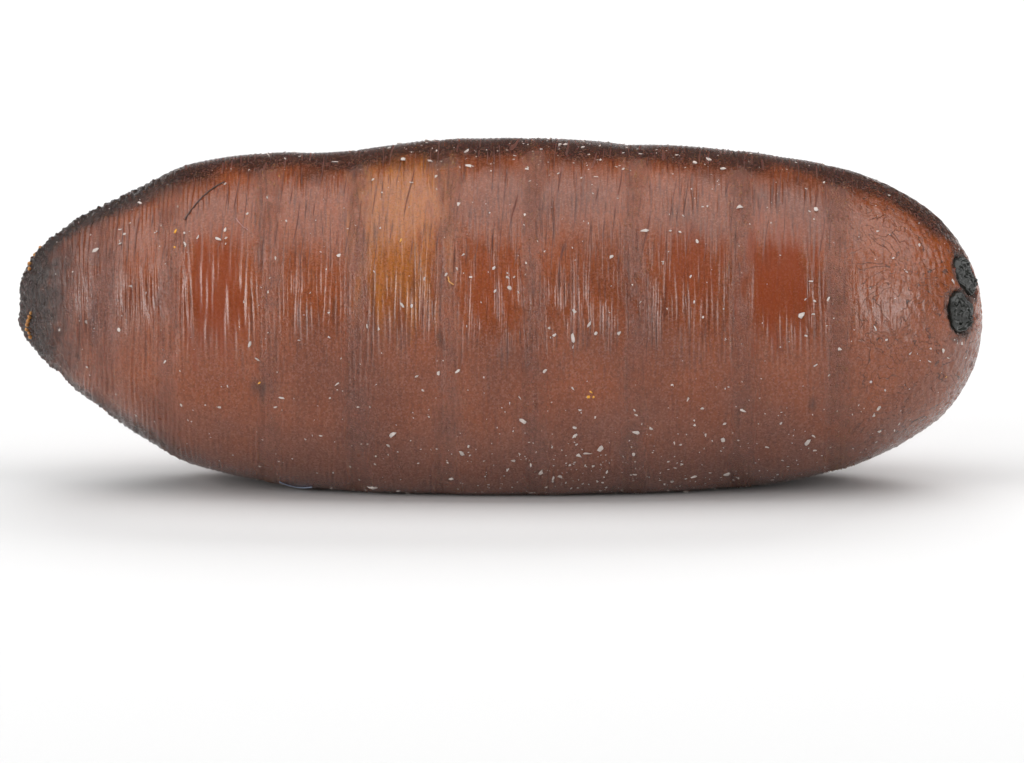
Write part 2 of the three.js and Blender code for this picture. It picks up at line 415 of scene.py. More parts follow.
ringed = (1 - rise(from_front, 0.4, 0.75)) * (1 - 0.8 * black)
front_rings = near_zero(waves(points, (0.035, 0.09), 26, drift=1.0), 0.3) * ringed
warts = waves(points, (0.028, 0.05), 27) * black + 0.15 * waves(points, (0.022, 0.035), 30) * band

wrinkled = striped * (0.35 + 0.65 * streaky) + 0.12 * rear
below_rim = 1 - 0.6 * upper  # the rim has shallower wrinkles
lift = STRIATION * fine * calm * wrinkled * below_rim + REAR_NET * net_fine * rear
lift = lift - FISSURE * fissure * below_rim - FOLD * fold * (1 - tip)
lift = lift - CRACKLE * crackle - FRONT_RING * front_rings
lift = lift - WINDOW_DIMPLE * window + WARTS * warts + UNEVEN * waves(points, (0.4, 0.9), 28)
lift = lift - PLATE_PIT * (1 - rise(to_plate, 0.85 * PLATE_RADIUS, PLATE_RADIUS + 0.03))
lift = lift * rise(points[:, 2], 0.0, 0.12)  # flat where it rests
relief = points + normals * lift[:, None]
relief[:, 2] = np.maximum(relief[:, 2], 0.0)
skin.data.vertices.foreach_set("co", (relief * MM).ravel())
skin.data.update()
skin_tree = BVHTree.FromPolygons(relief.tolist(), skin_faces)
print(f"the relief runs from {lift.min() * 1000:.0f} to {lift.max() * 1000:.0f} micrometres")

# %% Keep the strengths on the mesh, for the material
# Painted shade in the rear net's cracks, the joint folds and the front rings: their grooves are darkened
crease = np.clip(0.2 * crackle + 0.15 * fold + 0.4 * front_rings, 0, 1)
# Painted shade and painted floor reflection: darker and greyer towards the bottom. The lower rear edge and
# the front cone take some of the same purple-grey.
under = rise(-above_axis + 0.12 * waves(points, (0.2, 0.6), 32), 0.2, 1.0)
rear_edge = rise(from_front, LENGTH - 0.4, LENGTH - 0.1) * rise(-above_axis, -0.1, 0.25)
front_cone = 1 - rise(from_front, 0.4, 1.15)
under = np.maximum.reduce([under, 0.9 * rear_edge, 0.3 * front_cone])
strengths = {
    "band": band, "window": window, "amber": amber, "black": black, "crease": crease, "upper": upper,
    "under": under, "rear": rear, "fissured": fissured, "course": course, "streaky": streaky,
}


def keep_strengths(piece, layers):
    """Stores each strength on a piece's points, under its name."""
    for name, values in layers.items():
        layer = piece.data.attributes.new(name, "FLOAT", "POINT")
        layer.data.foreach_set("value", values.astype(np.float32))


keep_strengths(skin, strengths)
print("the mesh carries", ", ".join(strengths))

# %% [markdown]
# ## Tanned cuticle
#
# Insect cuticle is chitin in a protein matrix. Tanning turns it from white to red-brown and hardens it,
# and the shell stays translucent, so light goes a few tenths of a millimetre in and comes back orange.
# Its surface is waxy: a satin reflection with an index of about 1.56. Between the belts it is smooth
# enough to mirror a lamp, and in the belts thousands of spines scatter it to a purplish grey.

# %% Functions for a colour, a node, a material's start and end, and two colours in blotches


def colour(code):
    """An sRGB hex code as linear red, green, blue and alpha."""
    parts = [int(code[place : place + 2], 16) / 255 for place in (1, 3, 5)]
    return [part / 12.92 if part <= 0.04045 else ((part + 0.055) / 1.055) ** 2.4 for part in parts] + [1.0]


def add_node(tree, kind, settings=None, inputs=None):
    """Adds a node, sets its options, and gives its inputs a value or a link (node, output)."""
    made = tree.nodes.new("ShaderNode" + kind)
    for option, value in (settings or {}).items():
        setattr(made, option, value)
    for name, value in (inputs or {}).items():
        if isinstance(value, tuple):
            tree.links.new(value[0].outputs[value[1]], made.inputs[name])
        else:
            made.inputs[name].default_value = value
    return made


def new_material(name):
    """An empty material and its node tree."""
    material = bpy.data.materials.new(name)
    material.use_nodes = True
    material.node_tree.nodes.clear()
    return material, material.node_tree


def finish_material(tree, inputs):
    """Ends a node tree with one surface shader."""
    surface = add_node(tree, "BsdfPrincipled", None, inputs)
    add_node(tree, "OutputMaterial", None, {"Surface": (surface, "BSDF")})


def mottled(tree, size, dark, pale, detail=2.0):
    """Two colours in blotches of a size: the blotches' node, and the node with the mixed colour."""
    where = add_node(tree, "TexCoord")
    blotches = add_node(tree, "TexNoise", None, {
        "Vector": (where, "Object"), "Scale": 1 / size, "Detail": detail,
    })
    tone = add_node(tree, "Mix", {"data_type": "RGBA"}, {"Factor": (blotches, "Fac")})
    tone.inputs["A"].default_value = colour(dark)
    tone.inputs["B"].default_value = colour(pale)
    return blotches, tone


# %% Tanned cuticle: its colour
CLOUD_SIZE = 0.6 * MM  # blotches where the shell is thicker
GRANULE_SIZE = 0.0105 * MM  # warts and spine roots, drawn as coarse as a pixel can show
CRACK_SIZE = 0.3 * MM  # bends of the long cracks at the rear end
CRACKS = 13  # lines from one bend to the next
GAP_SIZE = 0.12 * MM  # gaps that break the cracks
RIDGE_SPACING = 0.034 * MM  # wavy ridges between them
PORE_SIZE = 0.04 * MM
STREAK_WIDTH, STREAK_LENGTH = 0.018 * MM, 0.25 * MM  # wrinkles too fine for the mesh

cuticle, tree = new_material("tanned_cuticle_waxy")
where = add_node(tree, "TexCoord")
layers = {name: add_node(tree, "Attribute", {"attribute_name": name}) for name in strengths}


def mix_in(tone, amount, code):
    """Mixes a colour into a tone by a linked amount (node, output)."""
    mixed = add_node(tree, "Mix", {"data_type": "RGBA"}, {"Factor": amount})
    tree.links.new(tone.outputs["Result"], mixed.inputs["A"])
    mixed.inputs["B"].default_value = colour(code)
    return mixed


cloud = add_node(tree, "TexNoise", None, {
    "Vector": (where, "Object"), "Scale": 1 / CLOUD_SIZE, "Detail": 3.0,
})
cloud_share = add_node(tree, "MapRange", None, {
    "Value": (cloud, "Fac"), "From Min": 0.35, "From Max": 0.68,
})
tone = add_node(tree, "Mix", {"data_type": "RGBA"}, {"Factor": (cloud_share, "Result")})
tone.inputs["A"].default_value = colour("#823F18")
tone.inputs["B"].default_value = colour("#6A3113")
LAYERS = [  # a strength on the mesh, the colour it brings, and the most of it
    ("amber", "#A8641A", 0.56),
    ("rear", "#8C4516", 0.35),
    ("band", "#55302A", 0.3),
    # Painted shade: the dark rim along the top
    ("upper", "#1E100C", 0.9),
    # Painted shade and floor reflection, darker and greyer towards the bottom
    ("under", "#5E453F", 0.56),
    # Painted shade in the grooves
    ("crease", "#45190C", 0.8),
]
for name, code, most in LAYERS:
    amount = add_node(tree, "Math", {"operation": "MULTIPLY"}, {0: (layers[name], "Fac"), 1: most})
    tone = mix_in(tone, (amount, "Value"), code)

granules = add_node(tree, "TexVoronoi", None, {"Vector": (where, "Object"), "Scale": 1 / GRANULE_SIZE})
# Pale specks on the granules: partly their own paler tone, partly painted glints of spines catching the
# light
pale_cells_and_glints = add_node(tree, "MapRange", None, {
    "Value": (granules, "Color"), "From Min": 0.55, "From Max": 0.8, "To Max": 0.28,
})
dark_cells = add_node(tree, "MapRange", None, {
    "Value": (granules, "Color"), "From Min": 0.36, "From Max": 0.2, "To Max": 0.3,
})
tone = mix_in(tone, (pale_cells_and_glints, "Result"), "#96685A")
tone = mix_in(tone, (dark_cells, "Result"), "#2A120C")
cleared = add_node(tree, "Math", {"operation": "MULTIPLY"}, {0: (layers["window"], "Fac"), 1: 0.66})
tone = mix_in(tone, (cleared, "Value"), "#7A2E04")
# Black tip, stains and plate surrounds, with painted shade on the front cone's edges
blackened = add_node(tree, "Math", {"operation": "MULTIPLY"}, {0: (layers["black"], "Fac"), 1: 0.93})
tone = mix_in(tone, (blackened, "Value"), "#181311")
print("the cuticle's colour has", len(LAYERS) + 5, "layers")

# %% Tanned cuticle: its cracks, painted shade in its fissures and fine wrinkles, gloss and fine relief
contours = add_node(tree, "TexNoise", None, {
    "Vector": (where, "Object"), "Scale": 1 / CRACK_SIZE, "Detail": 3.0, "Distortion": 0.6,
})
levels = add_node(tree, "Math", {"operation": "MULTIPLY"}, {0: (contours, "Fac"), 1: float(CRACKS)})
level_part = add_node(tree, "Math", {"operation": "PINGPONG"}, {0: (levels, "Value"), 1: 0.5})
gaps = add_node(tree, "TexNoise", None, {
    "Vector": (where, "Object"), "Scale": 1 / GAP_SIZE, "Detail": 2.0,
})
gap_share = add_node(tree, "MapRange", None, {
    "Value": (gaps, "Fac"), "From Min": 0.36, "From Max": 0.52, "To Min": 0.0, "To Max": 0.75,
})
crack_line = add_node(tree, "MapRange", None, {
    "Value": (level_part, "Value"), "From Min": 0.015, "From Max": 0.075, "To Min": 1.0, "To Max": 0.0,
})
broken = add_node(tree, "Math", {"operation": "MULTIPLY"}, {
    0: (crack_line, "Result"), 1: (gap_share, "Result"),
})
cracked = add_node(tree, "Math", {"operation": "MULTIPLY"}, {
    0: (broken, "Value"), 1: (layers["rear"], "Fac"),
})
tone = mix_in(tone, (cracked, "Value"), "#24100A")

# Painted shade: thin dark lines inside the fissures, which are also made rough so they mirror less of the
# lamp
to_line = add_node(tree, "Math", {"operation": "PINGPONG"}, {0: (layers["course"], "Fac"), 1: 0.5})
thin_line = add_node(tree, "MapRange", None, {
    "Value": (to_line, "Value"), "From Min": 0.02, "From Max": 0.085, "To Min": 0.85, "To Max": 0.0,
})
shaded_fissure_lines = add_node(tree, "Math", {"operation": "MULTIPLY"}, {
    0: (thin_line, "Result"), 1: (layers["fissured"], "Fac"),
})
tone = mix_in(tone, (shaded_fissure_lines, "Value"), "#52200F")

rough_share = add_node(tree, "Math", {"operation": "MAXIMUM"}, {
    0: (layers["band"], "Fac"), 1: (layers["black"], "Fac"),
})
rough_part = add_node(tree, "MapRange", None, {
    "Value": (layers["band"], "Fac"), "To Min": 0.2, "To Max": 0.5,
})
roughness = add_node(tree, "Math", {"operation": "MAXIMUM"}, {
    0: (rough_part, "Result"), 1: (shaded_fissure_lines, "Value"),
})

stretched = add_node(tree, "Mapping", None, {
    "Vector": (where, "Object"), "Scale": [1 / STREAK_WIDTH, 1 / STREAK_LENGTH, 1 / STREAK_LENGTH],
})
streaks = add_node(tree, "TexNoise", None, {"Vector": (stretched, "Vector"), "Scale": 1.0, "Detail": 2.0})
# Painted shade: thin dark lines between the fine wrinkles, where the lit streaks show
dark_streaks = add_node(tree, "MapRange", None, {
    "Value": (streaks, "Fac"), "From Min": 0.45, "From Max": 0.3, "To Max": 0.5,
})
streak_shade = add_node(tree, "Math", {"operation": "MULTIPLY"}, {
    0: (dark_streaks, "Result"), 1: (layers["streaky"], "Fac"),
})
tone = mix_in(tone, (streak_shade, "Value"), "#3E160A")
streak_share = add_node(tree, "MapRange", None, {
    "Value": (layers["streaky"], "Fac"), "To Min": 0.05, "To Max": 0.38,
})
streak_relief = add_node(tree, "Bump", None, {
    "Height": (streaks, "Fac"), "Strength": (streak_share, "Result"), "Distance": 0.006 * MM,
})

pores = add_node(tree, "TexNoise", None, {
    "Vector": (where, "Object"), "Scale": 1 / PORE_SIZE, "Detail": 4.0,
})
pore_relief = add_node(tree, "Bump", None, {
    "Height": (pores, "Fac"), "Strength": 0.2, "Distance": 0.004 * MM, "Normal": (streak_relief, "Normal"),
})
grain_part = add_node(tree, "MapRange", None, {
    "Value": (rough_share, "Value"), "To Min": 0.2, "To Max": 1.0,
})
calmed = add_node(tree, "MapRange", None, {
    "Value": (layers["window"], "Fac"), "To Min": 1.0, "To Max": 0.4,
})
grain_share = add_node(tree, "Math", {"operation": "MULTIPLY"}, {
    0: (grain_part, "Result"), 1: (calmed, "Result"),
})
grain_relief = add_node(tree, "Bump", {"invert": True}, {
    "Height": (granules, "Distance"), "Strength": (grain_share, "Value"), "Distance": 0.006 * MM,
    "Normal": (pore_relief, "Normal"),
})
ridges = add_node(tree, "TexWave", {"wave_type": "BANDS", "bands_direction": "X"}, {
    "Vector": (where, "Object"), "Scale": math.pi / 10 / RIDGE_SPACING, "Distortion": 11.0,
    "Detail": 2.0, "Detail Scale": 0.35,
})
ridge_share = add_node(tree, "Math", {"operation": "MULTIPLY"}, {0: (layers["rear"], "Fac"), 1: 0.15})
ridge_relief = add_node(tree, "Bump", None, {
    "Height": (ridges, "Fac"), "Strength": (ridge_share, "Value"), "Distance": 0.006 * MM,
    "Normal": (grain_relief, "Normal"),
})
crack_relief = add_node(tree, "Bump", {"invert": True}, {
    "Height": (cracked, "Value"), "Strength": 0.6, "Distance": 0.008 * MM,
    "Normal": (ridge_relief, "Normal"),
})
finish_material(tree, {
    "Base Color": (tone, "Result"),
    "Roughness": (roughness, "Value"),
    "Normal": (crack_relief, "Normal"),
    "IOR": 1.56,
    "Subsurface Weight": 0.35,
    "Subsurface Radius": [1.0, 0.35, 0.12],
    "Subsurface Scale": 0.22 * MM,
})
skin.data.materials.append(cuticle)
print(cuticle.name, "has", len(tree.nodes), "nodes")

# %% [markdown]
# ## Small things on the skin
#
# Spines, lobes and dust are thousands of small closed shapes. Each kind is one mesh: the shapes are worked
# out with arrays, turned to stand on the skin, and joined. Random places come from the skin's own faces,
# picked by their area and by how dense the kind is there.

# %% Helpers: random places on the skin, a ball, and joining
corners = np.array([list(face) + list(face[-1:]) * (4 - len(face)) for face in skin_faces])
corner_places = relief[corners]
across = corner_places[:, 2] - corner_places[:, 0]
along = corner_places[:, 3] - corner_places[:, 1]
face_areas = np.linalg.norm(np.cross(across, along), axis=1) / 2


def scatter(density, count, seed):
    """Random places on the skin, more where a density is high, the way it faces there, and the faces."""
    random = np.random.default_rng(seed)
    chance = face_areas * density[corners].mean(axis=1)
    chosen = random.choice(len(corners), count, p=chance / chance.sum())
    u, v = random.uniform(size=(2, count))
    shares = np.stack([(1 - u) * (1 - v), u * (1 - v), u * v, (1 - u) * v], axis=1)
    places = np.einsum("nk,nkc->nc", shares, corner_places[chosen])
    facing = np.einsum("nk,nkc->nc", shares, normals[corners[chosen]])
    return places, facing / np.linalg.norm(facing, axis=1)[:, None], chosen


def ball(halvings):
    """A unit sphere: an icosahedron whose faces are halved some times."""
    golden = (1 + math.sqrt(5)) / 2
    ends = [(-1, golden), (1, golden), (-1, -golden), (1, -golden)]
    places = [(a, b, 0) for a, b in ends] + [(0, a, b) for a, b in ends] + [(b, 0, a) for a, b in ends]
    faces = [
        (0, 11, 5), (0, 5, 1), (0, 1, 7), (0, 7, 10), (0, 10, 11),
        (1, 5, 9), (5, 11, 4), (11, 10, 2), (10, 7, 6), (7, 1, 8),
        (3, 9, 4), (3, 4, 2), (3, 2, 6), (3, 6, 8), (3, 8, 9),
        (4, 9, 5), (2, 4, 11), (6, 2, 10), (8, 6, 7), (9, 8, 1),
    ]
    places = [Vector(place).normalized() for place in places]
    for _ in range(halvings):
        middles = {}
        halved = []
        for face in faces:
            cut = []
            for one, two in zip(face, face[1:] + face[:1]):
                edge = (min(one, two), max(one, two))
                if edge not in middles:
                    middles[edge] = len(places)
                    places.append((places[one] + places[two]).normalized())
                cut.append(middles[edge])
            halved += [(face[0], cut[0], cut[2]), (face[1], cut[1], cut[0])]
            halved += [(face[2], cut[2], cut[1]), tuple(cut)]
        faces = halved
    return np.array(places), np.array(faces)


def standing(facing, spin=0.0):
    """Three unit vectors as rows: two along the skin, turned by a spin, and the way it faces."""
    up = Vector(facing).normalized()
    first = up.cross(Vector((0.0, 0.0, 1.0))) if abs(up.z) < 0.9 else up.cross(Vector((1.0, 0.0, 0.0)))
    first = Matrix.Rotation(spin, 3, up) @ first.normalized()
    return np.array([first, up.cross(first), up])


def join(shapes):
    """One list of points and one of faces, from a list of (points, faces)."""
    places = np.concatenate([shape[0] for shape in shapes])
    counts = np.cumsum([0] + [len(shape[0]) for shape in shapes])
    faces = [
        tuple(int(corner + first) for corner in face)
        for first, shape in zip(counts, shapes)
        for face in shape[1]
    ]
    places[:, 2] = np.maximum(places[:, 2], 0.0)
    return places, faces


print("the skin's area is", round(face_areas.sum(), 1), "square millimetres")

# %% [markdown]
# ## Belts of spines
#
# The larva creeps on belts of tiny backward spines, and the puparium keeps them behind each joint. They
# are about as large as one pixel, so they read as a grey grain that catches the light.

# %% Spines
SPINES = 12000
SPINE_LENGTH = 0.009
SPINE_RADIUS = 0.0055
SPINE_ROOT = 0.003  # how deep it starts in the skin
BACKWARD = np.array([1.0, 0.0, 0.0])

spine_places, spine_facing, spine_faces_under = scatter(band * (1 - 0.8 * window) * (1 - tip), SPINES, 41)
random = np.random.default_rng(42)
sizes = random.uniform(0.6, 1.25, SPINES)[:, None]
spins = random.uniform(0, 2 * math.pi, SPINES)
side_one = np.cross(spine_facing, [0.0, 0.6, 0.8])
side_one = side_one / np.linalg.norm(side_one, axis=1)[:, None]
side_two = np.cross(spine_facing, side_one)
root = spine_places - SPINE_ROOT * spine_facing
corner_sets = [
    root + SPINE_RADIUS * sizes * (np.cos(angle)[:, None] * side_one + np.sin(angle)[:, None] * side_two)
    for angle in (spins, spins + 2 * math.pi / 3, spins + 4 * math.pi / 3)
]
points_back = spine_facing + 0.6 * BACKWARD
top = root + SPINE_LENGTH * sizes * points_back
spine_points = np.stack(corner_sets + [top], axis=1).reshape(-1, 3)
spine_points[:, 2] = np.maximum(spine_points[:, 2], 0.0)
pyramid = np.array([(0, 1, 3), (1, 2, 3), (2, 0, 3), (0, 2, 1)])
spine_faces = (pyramid[None] + 4 * np.arange(SPINES)[:, None, None]).reshape(-1, 3).tolist()
spines = make_piece("creeping_spines", spine_points, spine_faces, smooth=False)

of_spines = {
    name: np.repeat(values[corners[spine_faces_under]].mean(axis=1), 4)
    for name, values in strengths.items()
}
keep_strengths(spines, of_spines)
spines.data.materials.append(cuticle)

# %% [markdown]
# ## Breathing plates at the rear
#
# Two black plates on the rear end were the larva's breathing holes. Each is D-shaped, with a raised rim,
# three winding slits between ridges, and a round scar. A grid of points in rings is lifted by the distance
# to those lines, which is quicker to shape than carving, and the rim goes down into the skin.

# %% Shape one plate
PLATE_RINGS, PLATE_SPOKES = 34, 132
FLAT_SIDE = 0.82  # how far the straight side is from the middle, as a share of the radius
BUTTON = np.array([-0.36, 0.0])
SLIT_TURNS = np.radians([-62, 0, 62])
FOOT_DEPTH, BOTTOM_DEPTH = 0.05, 0.06  # how far a plate's wall and its underside go into the skin

spokes = np.arange(PLATE_SPOKES) * 2 * math.pi / PLATE_SPOKES
reach = 1 / np.maximum(1.0, -np.cos(spokes) / FLAT_SIDE)
reach = reach * (1 + 0.05 * np.sin(3 * spokes + 1) + 0.04 * np.sin(5 * spokes + 2))
shares = np.sqrt(np.linspace(0.0004, 1, PLATE_RINGS))
plate_u = np.outer(shares, reach * np.cos(spokes))
plate_v = np.outer(shares, reach * np.sin(spokes))
flat_places = np.stack([plate_u, plate_v], axis=-1).reshape(-1, 2)

run = np.linspace(0, 1, 50)
winding = 0.13 * np.sin(2 * math.pi * 1.6 * run)
outward = 0.24 + 0.8 * run
slits = np.concatenate([
    BUTTON + np.stack([outward * math.cos(turn) - winding * math.sin(turn),
                       outward * math.sin(turn) + winding * math.cos(turn)], axis=1)
    for turn in SLIT_TURNS
])
to_slit = np.linalg.norm(flat_places[:, None] - slits, axis=2).min(axis=1)
to_button = np.linalg.norm(flat_places - BUTTON, axis=1)
share = np.repeat(shares, PLATE_SPOKES)
inside = 1 - rise(share, 0.8, 0.9)
plate_height = 0.012 * near_zero(share - 0.86, 0.08) + 0.016 * near_zero(to_button, 0.16)
plate_height += inside * (0.045 * near_zero(to_slit, 0.14) - 0.05 * near_zero(to_slit, 0.05))
plate_height -= 0.022 + 0.045 * rise(share, 0.88, 1.0)
print(f"a plate stands {plate_height.max():.3f} mm high")

# %% Set the plates on the rear end
plates = []
for number, (place, facing) in enumerate(plate_seats):
    other = plate_seats[1 - number][0]
    up = facing / np.linalg.norm(facing)
    toward = other - place
    toward = toward - up * (toward @ up)
    first = -toward / np.linalg.norm(toward)
    second = np.cross(up, first)
    on_plate = np.column_stack([flat_places, np.full(len(flat_places), number)])
    rough = 0.003 * waves(on_plate, (0.12, 0.3), 51)
    surface_points = place + PLATE_RADIUS * (flat_places[:, :1] * first + flat_places[:, 1:] * second)
    surface_points = surface_points + (plate_height + rough)[:, None] * up
    foot = surface_points[-PLATE_SPOKES:] - FOOT_DEPTH * up
    ends = np.array([surface_points[:PLATE_SPOKES].mean(axis=0), place - BOTTOM_DEPTH * up])
    plate_faces = ring_faces(0, PLATE_RINGS + 1, PLATE_SPOKES)
    first_end = (PLATE_RINGS + 1) * PLATE_SPOKES
    foot_first = PLATE_RINGS * PLATE_SPOKES
    for spoke in range(PLATE_SPOKES):
        following = (spoke + 1) % PLATE_SPOKES
        plate_faces.append((first_end, following, spoke))
        plate_faces.append((first_end + 1, foot_first + spoke, foot_first + following))
    plate_faces = [face[::-1] for face in plate_faces]
    plates.append((np.concatenate([surface_points, foot, ends]), plate_faces))
plate_piece = make_piece("rear_breathing_plates", *join(plates))

# Cuticle tanned until it is black: hard and glossy, with shallow pits that break its glints
black_cuticle, tree = new_material("blackened_cuticle_plates")
mottle, tone = mottled(tree, 0.03 * MM, "#080908", "#282A25", 3.0)
pits = add_node(tree, "Bump", None, {"Height": (mottle, "Fac"), "Strength": 0.3, "Distance": 0.008 * MM})
finish_material(tree, {
    "Base Color": (tone, "Result"), "Roughness": 0.2, "IOR": 1.56, "Normal": (pits, "Normal"),
})
plate_piece.data.materials.append(black_cuticle)

# %% [markdown]
# ## Breathing fans at the front
#
# Just behind the black tip the larva had two small fans of breathing lobes. On the puparium they are rows
# of soft-looking orange knobs. Each knob is a slightly stretched ball, sunk into the skin.

# %% Fans
FAN_PIXELS = [
    [(31.0, 313), (29.5, 317), (28.0, 321), (27.2, 325), (27.5, 329), (29.0, 333), (31.0, 337)],
    [(38.5, 247), (37.0, 249), (35.5, 252), (34.5, 255)],
    [(30.0, 264), (29.5, 269)],
]
LOBE_RADIUS = 0.0145
ball_points, ball_faces = ball(2)
lobes = []
for fan_number, fan in enumerate(FAN_PIXELS):
    for lobe_number, (x, y) in enumerate(fan):
        place, facing = seen_at(x, y, skin_tree)
        random = np.random.default_rng(60 + 10 * fan_number + lobe_number)
        size = LOBE_RADIUS * random.uniform(0.8, 1.15) * np.array([0.9, 0.9, 1.3])
        lobes.append((place + ball_points * size @ standing(facing, lobe_number), ball_faces))
fans = make_piece("front_breathing_fans", *join(lobes))

# Cuticle that was hardly tanned: light passes into it, and it glows orange
soft_cuticle, tree = new_material("untanned_cuticle_lobes")
_, tone = mottled(tree, 0.02 * MM, "#744416", "#C08A44")
finish_material(tree, {
    "Base Color": (tone, "Result"), "Roughness": 0.35, "IOR": 1.5,
    "Subsurface Weight": 0.4, "Subsurface Radius": [1.0, 0.5, 0.2], "Subsurface Scale": 0.03 * MM,
})
fans.data.materials.append(soft_cuticle)

# %% [markdown]
# ## Dust and lint
#
# A pupa picked out of the medium carries pale mineral dust and scales, a few golden grains and some lint.
# The larger flakes are placed one by one, where the eye would miss them. The rest are random, denser
# along the lower flank, and go right round the body. A flake is a ball flattened on the skin, with
# jolted corners.

# %% Dust flakes
BIG, LONG, SMALL = 0.025, 0.023, 0.014  # half sizes in millimetres
FLAKES = [
    (466, 152, BIG), (509, 288, BIG), (373, 487, BIG), (643, 231, BIG), (740, 207, BIG), (587, 453, BIG),
    (727, 474, BIG), (807, 442, BIG), (268, 155, LONG), (436, 177, LONG), (723, 440, LONG), (398, 142, LONG),
    (120, 230, SMALL), (120, 244, SMALL), (178, 207, SMALL), (184, 233, SMALL), (185, 244, SMALL),
    (198, 237, SMALL), (218, 239, LONG), (226, 238, SMALL), (225, 230, SMALL), (225, 184, SMALL),
    (247, 214, SMALL), (87, 322, SMALL), (165, 362, SMALL), (250, 344, SMALL), (257, 359, SMALL),
    (389, 148, LONG), (429, 161, LONG), (458, 204, LONG), (446, 274, SMALL), (457, 269, SMALL),
    (463, 255, SMALL), (471, 277, SMALL), (494, 268, SMALL), (495, 291, SMALL), (281, 398, SMALL),
    (437, 449, SMALL), (462, 453, LONG), (337, 384, SMALL), (367, 326, SMALL), (379, 329, SMALL),
    (402, 305, SMALL), (412, 306, SMALL), (438, 373, SMALL), (527, 169, SMALL), (670, 231, SMALL),
    (680, 232, SMALL), (697, 241, SMALL), (611, 257, SMALL), (514, 277, SMALL), (589, 324, LONG),
    (549, 328, SMALL), (574, 338, LONG), (596, 333, SMALL), (619, 333, SMALL), (545, 371, SMALL),
    (523, 421, LONG), (601, 447, LONG), (560, 476, LONG), (553, 478, SMALL), (672, 481, LONG),
    (695, 476, LONG), (688, 399, SMALL), (636, 415, SMALL), (580, 410, SMALL), (875, 328, SMALL),
    (943, 350, LONG), (874, 415, SMALL), (840, 349, SMALL), (767, 447, SMALL), (781, 423, SMALL),
]
RANDOM_FLAKES = 2200
LEAST_FLAKE, USUAL_FLAKE, MOST_FLAKE = 0.0036, 0.0034, 0.026  # the usual is what a random flake adds
flake_points, flake_faces = ball(0)


def flake(place, facing, size, random):
    """A flat, jolted flake of a half size, lying on the skin."""
    stretch = [random.uniform(0.8, 1.6), random.uniform(0.45, 0.9), random.uniform(0.2, 0.4)]
    stretch = size * np.array(stretch)
    shape = flake_points * random.uniform(0.4, 1.4, (len(flake_points), 1)) * stretch
    turned = shape @ standing(facing + random.normal(0, 0.15, 3), random.uniform(0, 2 * math.pi))
    return place + turned + 0.15 * size * facing, flake_faces


random = np.random.default_rng(71)
flakes = [flake(*seen_at(x, y, skin_tree), size, random) for x, y, size in FLAKES]
middle = hill(from_front - 0.62 * LENGTH, 0.42 * LENGTH)
dusty = 0.35 + 2.2 * middle * rise(-above_axis, 0.25, 0.9) + 0.8 * rise(above_axis, 0.95, 1.12)
flake_places, flake_facing, _ = scatter(dusty, RANDOM_FLAKES, 72)
flake_sizes = random.exponential(USUAL_FLAKE, RANDOM_FLAKES) + LEAST_FLAKE
flakes += [
    flake(place, facing, min(size, MOST_FLAKE), random)
    for place, facing, size in zip(flake_places, flake_facing, flake_sizes)
]
dust = make_piece("dust_flakes", *join(flakes), smooth=False)

# Dry mineral dust: pale and dull, some flakes greyer than others
chalk, tree = new_material("mineral_dust_dry")
_, tone = mottled(tree, 0.05 * MM, "#83766F", "#DAD0CA", 3.0)
finish_material(tree, {"Base Color": (tone, "Result"), "Roughness": 0.75, "IOR": 1.5})
dust.data.materials.append(chalk)

# %% Golden grains
GRAINS = [(176, 231, LONG), (175, 247, SMALL), (259, 383, SMALL), (591, 392, SMALL), (588, 397, SMALL),
          (594, 397, SMALL), (946, 377, SMALL), (401, 240, SMALL)]
random = np.random.default_rng(73)
grains = make_piece(
    "golden_grains", *join([flake(*seen_at(x, y, skin_tree), 0.8 * size, random) for x, y, size in GRAINS])
)
# Crumbs of bran: golden, with a slight gloss
bran, tree = new_material("amber_bran_grains")
_, tone = mottled(tree, 0.02 * MM, "#B4680C", "#F0B83C")
finish_material(tree, {"Base Color": (tone, "Result"), "Roughness": 0.3, "IOR": 1.53})
grains.data.materials.append(bran)

# %% Lint
FIBRE_SIDES = 6
FIBRES = {  # three picture points, a radius in millimetres, a colour
    "dark_hair": ([(185, 220), (203, 197), (225, 182)], 0.0035, "#241A18"),
    "blue_fibre": ([(280, 481), (296, 486), (312, 486)], 0.005, "#8C97AC"),
    "tan_fibre": ([(448, 277), (450, 282), (454, 285)], 0.0045, "#C08A4C"),
    "pink_fibre": ([(236, 218), (241, 225), (248, 230)], 0.0022, "#A87A74"),
}


def fibre(pixels, radius):
    """A closed tube along a curve through three picture points, lying just on the skin."""
    shares = np.linspace(0, 1, 17)
    start, middle, end = (np.array(pixel, float) for pixel in pixels)
    bend = 2 * middle - (start + end) / 2
    path = []
    for share in shares:
        x, y = (1 - share) ** 2 * start + 2 * share * (1 - share) * bend + share**2 * end
        place, facing = seen_at(x, y, skin_tree)
        path.append(place + facing * radius * 1.4)
    path = np.array(path)
    rings = []
    for number, place in enumerate(path):
        ahead = path[min(number + 1, len(path) - 1)] - path[max(number - 1, 0)]
        first, second, _ = standing(ahead)
        angles = np.arange(FIBRE_SIDES) * 2 * math.pi / FIBRE_SIDES
        rings.append(place + radius * (np.outer(np.cos(angles), first) + np.outer(np.sin(angles), second)))
    faces = ring_faces(0, len(rings), FIBRE_SIDES)
    faces.append(tuple(range(FIBRE_SIDES))[::-1])
    faces.append(tuple(range((len(rings) - 1) * FIBRE_SIDES, len(rings) * FIBRE_SIDES)))
    return np.concatenate(rings), faces


